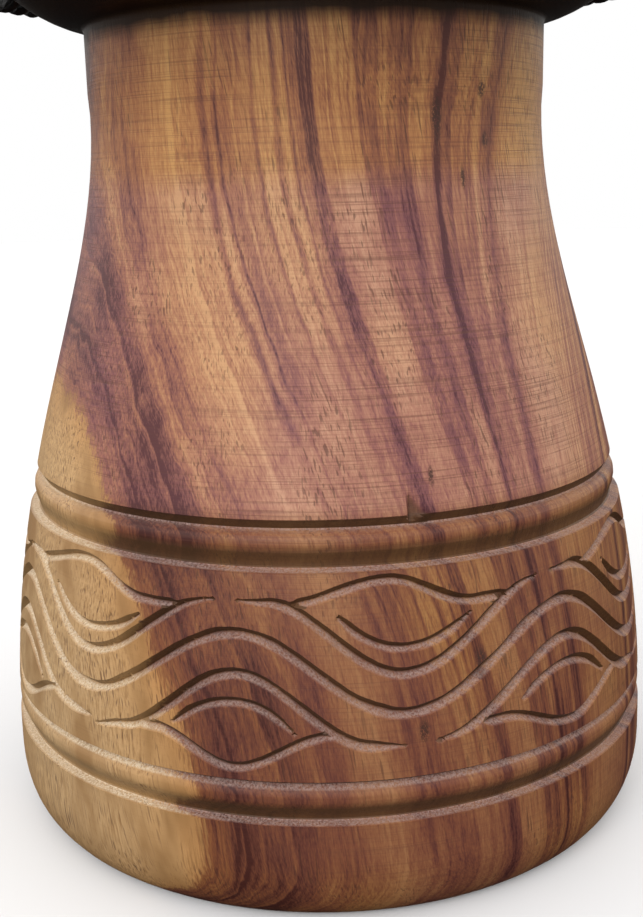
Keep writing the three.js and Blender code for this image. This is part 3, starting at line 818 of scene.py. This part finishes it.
shade_colour = blend_colour(tree, on_sapwood, CUT_SHADE, SAPWOOD_CUT_SHADE)
shade_strength = calc(tree, "MULTIPLY", shade_in_cuts, spread(tree, on_sapwood, 0, 1, 0.78, 0.5))
colour = blend_colour(tree, shade_strength, colour, shade_colour)

torn = spread(tree, fuzz, 0.40, 0.48)
for degrees, z, half_width, half_height in SCARS:
    turn = math.radians(degrees)
    r = flank_radius(z)
    centre = (r * math.sin(turn), -r * math.cos(turn), z)
    away = vector_of(tree, "SUBTRACT", {0: object_mm, 1: centre})
    far = length_of(tree, stretched(tree, away, (1 / half_width, 1 / half_width, 1 / half_height)))
    scar = calc(tree, "MULTIPLY", spread(tree, far, 1.0, 0.45), torn)
    colour = blend_colour(tree, calc(tree, "MULTIPLY", scar, 0.9), colour, SCAR)

rough = calc(tree, "MULTIPLY_ADD", dust_share, 0.35, calc(tree, "MULTIPLY_ADD", threads, 0.22, 0.38))
relief = calc(tree, "MULTIPLY_ADD", pores, -0.7, calc(tree, "MULTIPLY", turning_marks, -0.25))
raised = calc(tree, "MULTIPLY", calc(tree, "MULTIPLY", fuzz, dust_share), 1.8)
finish_surface(tree, surface, colour, rough, calc(tree, "ADD", relief, raised), 0.6, 0.0002)
surface.inputs["Specular IOR Level"].default_value = 0.22


def keep(bm, name):
    """Makes a smooth-shaded object of the mesh, with edges left crisp where its faces turn sharply."""
    data = bpy.data.meshes.new(name)
    bm.to_mesh(data)
    bm.free()
    data.shade_smooth()
    data.set_sharp_from_angle(angle=math.radians(27))
    piece = bpy.data.objects.new(name, data)
    bpy.context.scene.collection.objects.link(piece)
    return piece


def dress(piece, material, node):
    piece.data.materials.append(material)
    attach(piece, "root")
    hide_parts(node)


dress(keep(shell, "shell_carved"), wood, "shell")

# The head
# One goatskin with its hair scraped off, put on wet and shrunk tight. It goes over the rim and down, and is
# folded up round the flesh ring, which holds it.
SKIN = 1.2
SKIN_GAP = 0.3
FLESH_RING = (167.31, 552.0)
FOLD_INSIDE = 3.81
SKIN_TAIL = 3.0


def rim_arc(grow, degrees):
    return arc((BOWL_RADIUS - RIM_ROUND, RIM_HEIGHT - RIM_ROUND), RIM_ROUND + grow, *degrees)


fold_outside = FOLD_INSIDE + SKIN
top = RIM_HEIGHT + SKIN_GAP
head_rows = [(r, top + SKIN) for r in (0, 12, 30, 50, 70, 90, 110, 128, 142, 150)]
head_rows += rim_arc(SKIN_GAP + SKIN, (88, 0, 9))
head_rows += [(BOWL_RADIUS + SKIN_GAP + SKIN, z) for z in np.linspace(586, 556, 9)]
head_rows += arc(FLESH_RING, FOLD_INSIDE, 180, 360, 13)
tail_height = FLESH_RING[1] + SKIN_TAIL
head_rows += [(FLESH_RING[0] + FOLD_INSIDE, z) for z in (FLESH_RING[1] + 1.2, tail_height - 0.3)]
head_rows += [(FLESH_RING[0] + FOLD_INSIDE + SKIN / 2, tail_height)]
head_rows += [(FLESH_RING[0] + fold_outside, z) for z in (tail_height - 0.3, FLESH_RING[1] + 1.2)]
head_rows += arc(FLESH_RING, fold_outside, 360, 180, 15)
head_rows += [(BOWL_RADIUS + SKIN_GAP, z) for z in np.linspace(551, 586, 8)]
head_rows += rim_arc(SKIN_GAP, (0, 88, 9))
head_rows += [(r, top) for r in (150, 120, 80, 40, 0)]
head = bmesh.new()
tube(head, head_rows, 240)
for vert in head.verts:
    r, z = math.hypot(vert.co.x, vert.co.y) / MM, vert.co.z / MM
    turn = angle_of(vert.co)
    around_mm = Vector((math.sin(math.radians(turn)), math.cos(math.radians(turn)), 0)) * 60
    if r > FLESH_RING[0] + 2 and z > FLESH_RING[1] + 1.5:
        vert.co.z += 1.3 * noise.noise(around_mm / 9) * MM
    if r > BOWL_RADIUS + SKIN_GAP + 0.6 and z < 590:
        pleat = 0.16 * noise.noise(around_mm / 1.6) * min(1.0, (590 - z) / 30)
        vert.co += outward_from(vert.co) * pleat * MM

# Pale hide with browner clouds, a darker line where the spine ran, and the pits that the hairs grew from
HIDE = (0.60, 0.485, 0.33, 1)
HIDE_BROWN = (0.36, 0.235, 0.135, 1)
HIDE_GREY = (0.52, 0.46, 0.37, 1)
HAIR_PIT = (0.2, 0.12, 0.07, 1)
goatskin, tree, surface = new_material("goatskin")
object_place = put(tree, "ShaderNodeTexCoord").outputs["Object"]
clouds = patches_on(tree, object_place, 13.0, 0.42, 0.68, 4.0, 0.6)
greyer = patches_on(tree, stretched(tree, object_place, (1, 1.6, 1)), 22.0, 0.5, 0.7, 3.0, 0.55)
colour = blend_colour(tree, calc(tree, "MULTIPLY", greyer, 0.6), HIDE, HIDE_GREY)
colour = blend_colour(tree, calc(tree, "MULTIPLY", clouds, 0.5), colour, HIDE_BROWN)
spine_place = stretched(tree, object_place, (1, 0.35, 1))
off_spine = parted(tree, spine_place)["X"]
spine_wander = calc(tree, "MULTIPLY_ADD", noise_at(tree, spine_place, 18.0, 3.0), 0.02, -0.01)
spine = calc(tree, "ABSOLUTE", calc(tree, "ADD", off_spine, spine_wander))
spine_mask = spread(tree, spine, 0.013, 0.003, 0.0, 0.55)
colour = blend_colour(tree, spine_mask, colour, HIDE_BROWN)
cells = put(tree, "ShaderNodeTexVoronoi", {"Vector": object_place, "Scale": 620.0, "Randomness": 1.0})
hair_pits = spread(tree, cells.outputs["Distance"], 0.28, 0.12)
colour = blend_colour(tree, calc(tree, "MULTIPLY", hair_pits, 0.35), colour, HAIR_PIT)
grain = noise_at(tree, object_place, 900.0, 3.0, 0.6)
rough = calc(tree, "MULTIPLY_ADD", grain, 0.25, 0.42)
relief = calc(tree, "MULTIPLY_ADD", hair_pits, -0.5, grain)
finish_surface(tree, surface, colour, rough, relief, 0.5, 0.0003)
surface.inputs["Subsurface Weight"].default_value = 0.12
surface.inputs["Subsurface Scale"].default_value = 0.002
dress(keep(head, "goatskin_head"), goatskin, "drumhead")

# The rings
# Round steel rod, bent and welded, and painted black. One lies in the skin's fold, one presses the fold
# down, and one bears on the underside of the bowl. Each place is the rod's distance out and its height.
CROWN_RING = (175.30, 566.79)
BOTTOM_RING = (124.90, 296.58)
FLESH_ROD = 3.0
RING_ROD = 3.5
ROD_BLACK = (0.016, 0.016, 0.017, 1)
ROD_BARE = (0.23, 0.2, 0.18, 1)
painted, tree, surface = new_material("painted_rod")
object_place = put(tree, "ShaderNodeTexCoord").outputs["Object"]
scratches = patches_on(tree, stretched(tree, object_place, (1, 1, 3)), 260.0, 0.62, 0.7, 4.0, 0.7)
colour = blend_colour(tree, scratches, ROD_BLACK, ROD_BARE)
tree.links.new(calc(tree, "MULTIPLY", scratches, 0.85), surface.inputs["Metallic"])
rod_grain = noise_at(tree, object_place, 700.0, 2.0, 0.6)
rough = calc(tree, "MULTIPLY_ADD", rod_grain, 0.3, 0.32)
finish_surface(tree, surface, colour, rough, rod_grain, 0.3, 0.0002)


def rod_ring(name, node, middle, rod):
    bm = bmesh.new()
    tube(bm, arc(middle, rod, 0, 360, 17)[:-1] + arc(middle, rod, 0, 0, 1), 180)
    dress(keep(bm, name), painted, node)


rod_ring("flesh_rod", "flesh_ring", FLESH_RING, FLESH_ROD)
rod_ring("crown_rod", "crown_ring", CROWN_RING, RING_ROD)
rod_ring("bottom_rod", "bottom_ring", BOTTOM_RING, RING_ROD)

# The loops
# One black braided rope goes round each ring, close turn by turn, and leaves it in twelve loops. They hang
# from the crown ring and stand up from the bottom one.
ROPE = 5.0
ROPE_BEND = 8.20
LOOPS = 12
LOOP_LENGTH = 26.0
LOOP_WIDTH = 15.0
ROPE_STEP = 1.6
ROPE_SIDES = 10
PITCH = 2 * math.pi / LOOPS
CROWN_TURNS = 8
BOTTOM_TURNS = 5
PLAIT_LENGTH = 6.4
PLAIT_STRANDS = 4.0
ROPE_BLACK = (0.010, 0.010, 0.011, 1)
ROPE_LINT = (0.055, 0.052, 0.048, 1)


def around(r, angle, z):
    return (r * math.sin(angle), -r * math.cos(angle), z)


def in_turns(turn, step, soften):
    """One turn's route repeated right round the drum, with points evenly apart and corners eased."""
    whole = []
    for k in range(LOOPS):
        cos_k, sin_k = math.cos(k * PITCH), math.sin(k * PITCH)
        whole += [(x * cos_k - y * sin_k, x * sin_k + y * cos_k, z) for x, y, z in turn]
    route = np.array(whole + whole[:1])
    steps = np.linalg.norm(np.diff(route, axis=0), axis=1)
    lengths = np.concatenate([[0], np.cumsum(steps)])
    count = round(lengths[-1] / step)
    spots = np.linspace(0, lengths[-1], count + 1)[:-1]
    route = np.stack([np.interp(spots, lengths, route[:, axis]) for axis in range(3)], axis=1)
    for _ in range(soften):
        route = (np.roll(route, 1, axis=0) + 2 * route + np.roll(route, -1, axis=0)) / 4
    return route, lengths[-1]


def rope_piece(name, node, turn, soften=3):
    """A rope along a closed route. Its map counts millimetres along it, and 0 to 1 round it."""
    route, length = in_turns(turn, ROPE_STEP, soften)
    curve = bpy.data.curves.new(name, "CURVE")
    curve.dimensions = "3D"
    curve.bevel_depth = ROPE / 2 * MM
    curve.bevel_resolution = ROPE_SIDES // 2 - 2
    curve.twist_mode = "MINIMUM"
    spline = curve.splines.new("POLY")
    spline.points.add(len(route) - 1)
    spline.points.foreach_set("co", np.c_[route * MM, np.ones(len(route))].ravel())
    spline.use_cyclic_u = True
    spline.use_smooth = True
    draft = bpy.data.objects.new(name + "_route", curve)
    bpy.context.scene.collection.objects.link(draft)
    bpy.context.view_layer.update()
    shaped = draft.evaluated_get(bpy.context.evaluated_depsgraph_get())
    data = bpy.data.meshes.new_from_object(shaped)
    bpy.data.objects.remove(draft)
    bpy.data.curves.remove(curve)
    uv = data.uv_layers[0].data
    flat = np.empty(len(uv) * 2)
    uv.foreach_get("uv", flat)
    flat = flat.reshape(-1, 2) * (length, 1)
    uv.foreach_set("uv", flat.ravel())
    data.name = name
    piece = bpy.data.objects.new(name, data)
    bpy.context.scene.collection.objects.link(piece)
    dress(piece, black_rope, node)


black_rope, tree, surface = new_material("black_rope")
mapped = parted(tree, put(tree, "ShaderNodeTexCoord").outputs["UV"])
along = calc(tree, "MULTIPLY", mapped["X"], 1 / PLAIT_LENGTH)
round_it = calc(tree, "MULTIPLY", mapped["Y"], PLAIT_STRANDS)
one_way = calc(tree, "PINGPONG", calc(tree, "ADD", round_it, along), 0.5)
other_way = calc(tree, "PINGPONG", calc(tree, "SUBTRACT", round_it, along), 0.5)
plait = calc(tree, "MULTIPLY", calc(tree, "MAXIMUM", one_way, other_way), 2.0)
object_place = put(tree, "ShaderNodeTexCoord").outputs["Object"]
lint = noise_at(tree, object_place, 1500.0, 2.0, 0.7)
dusty_patch = patches_on(tree, object_place, 30.0, 0.45, 0.75, 3.0)
dustiness = calc(tree, "MULTIPLY_ADD", dusty_patch, 0.6, 0.25)
light_share = calc(tree, "MULTIPLY", dustiness, spread(tree, lint, 0.45, 0.75))
colour = blend_colour(tree, light_share, ROPE_BLACK, ROPE_LINT)
rough = calc(tree, "MULTIPLY_ADD", lint, 0.3, 0.5)
relief = calc(tree, "MULTIPLY_ADD", lint, 0.3, plait)
finish_surface(tree, surface, colour, rough, relief, 0.8, 0.0007)


def loop_turn(ring, down, turn_by, extra_wraps):
    half = LOOP_WIDTH / 2
    step_on = PITCH * ring[0]
    wrap = 300 + 360 * extra_wraps

    def at(s, out, h):
        return around(ring[0] + out, turn_by + s / ring[0], ring[1] - down * h)

    points = []
    for degrees in range(180, -1, -15):
        a = math.radians(degrees)
        points.append(at(half * math.cos(a), ROPE_BEND, LOOP_LENGTH - half + half * math.sin(a)))
    for i in range(wrap // 15 + 1):
        a = math.radians(-15 * i)
        s = half + (step_on - LOOP_WIDTH) * i * 15 / wrap
        points.append(at(s, ROPE_BEND * math.cos(a), ROPE_BEND * math.sin(a)))
    return points


rope_piece("crown_rope", "crown_loops", loop_turn(CROWN_RING, 1, 0, CROWN_TURNS))
rope_piece("bottom_rope", "bottom_loops", loop_turn(BOTTOM_RING, -1, PITCH / 2, BOTTOM_TURNS))

# The tension rope
# One long black rope laced down and up between the two rows of loops, and pulled tight by hand. It turns
# back through each loop in a hairpin.
HAIRPIN = 6.6


def tension_turn():
    high = (CROWN_RING[0] + ROPE_BEND, CROWN_RING[1] - LOOP_LENGTH)
    low = (BOTTOM_RING[0] + ROPE_BEND, BOTTOM_RING[1] + LOOP_LENGTH)
    points = []
    for end, angle, up in ((high, 0, 1), (low, PITCH / 2, -1)):
        for degrees in range(180, -1, -15) if up > 0 else range(0, 181, 15):
            a = math.radians(degrees)
            out = HAIRPIN * math.cos(a)
            rise = up * HAIRPIN * math.sin(a)
            points.append(around(end[0] + out, angle, end[1] + rise))
    return points


rope_piece("lacing_rope", "tension_rope", tension_turn(), 2)
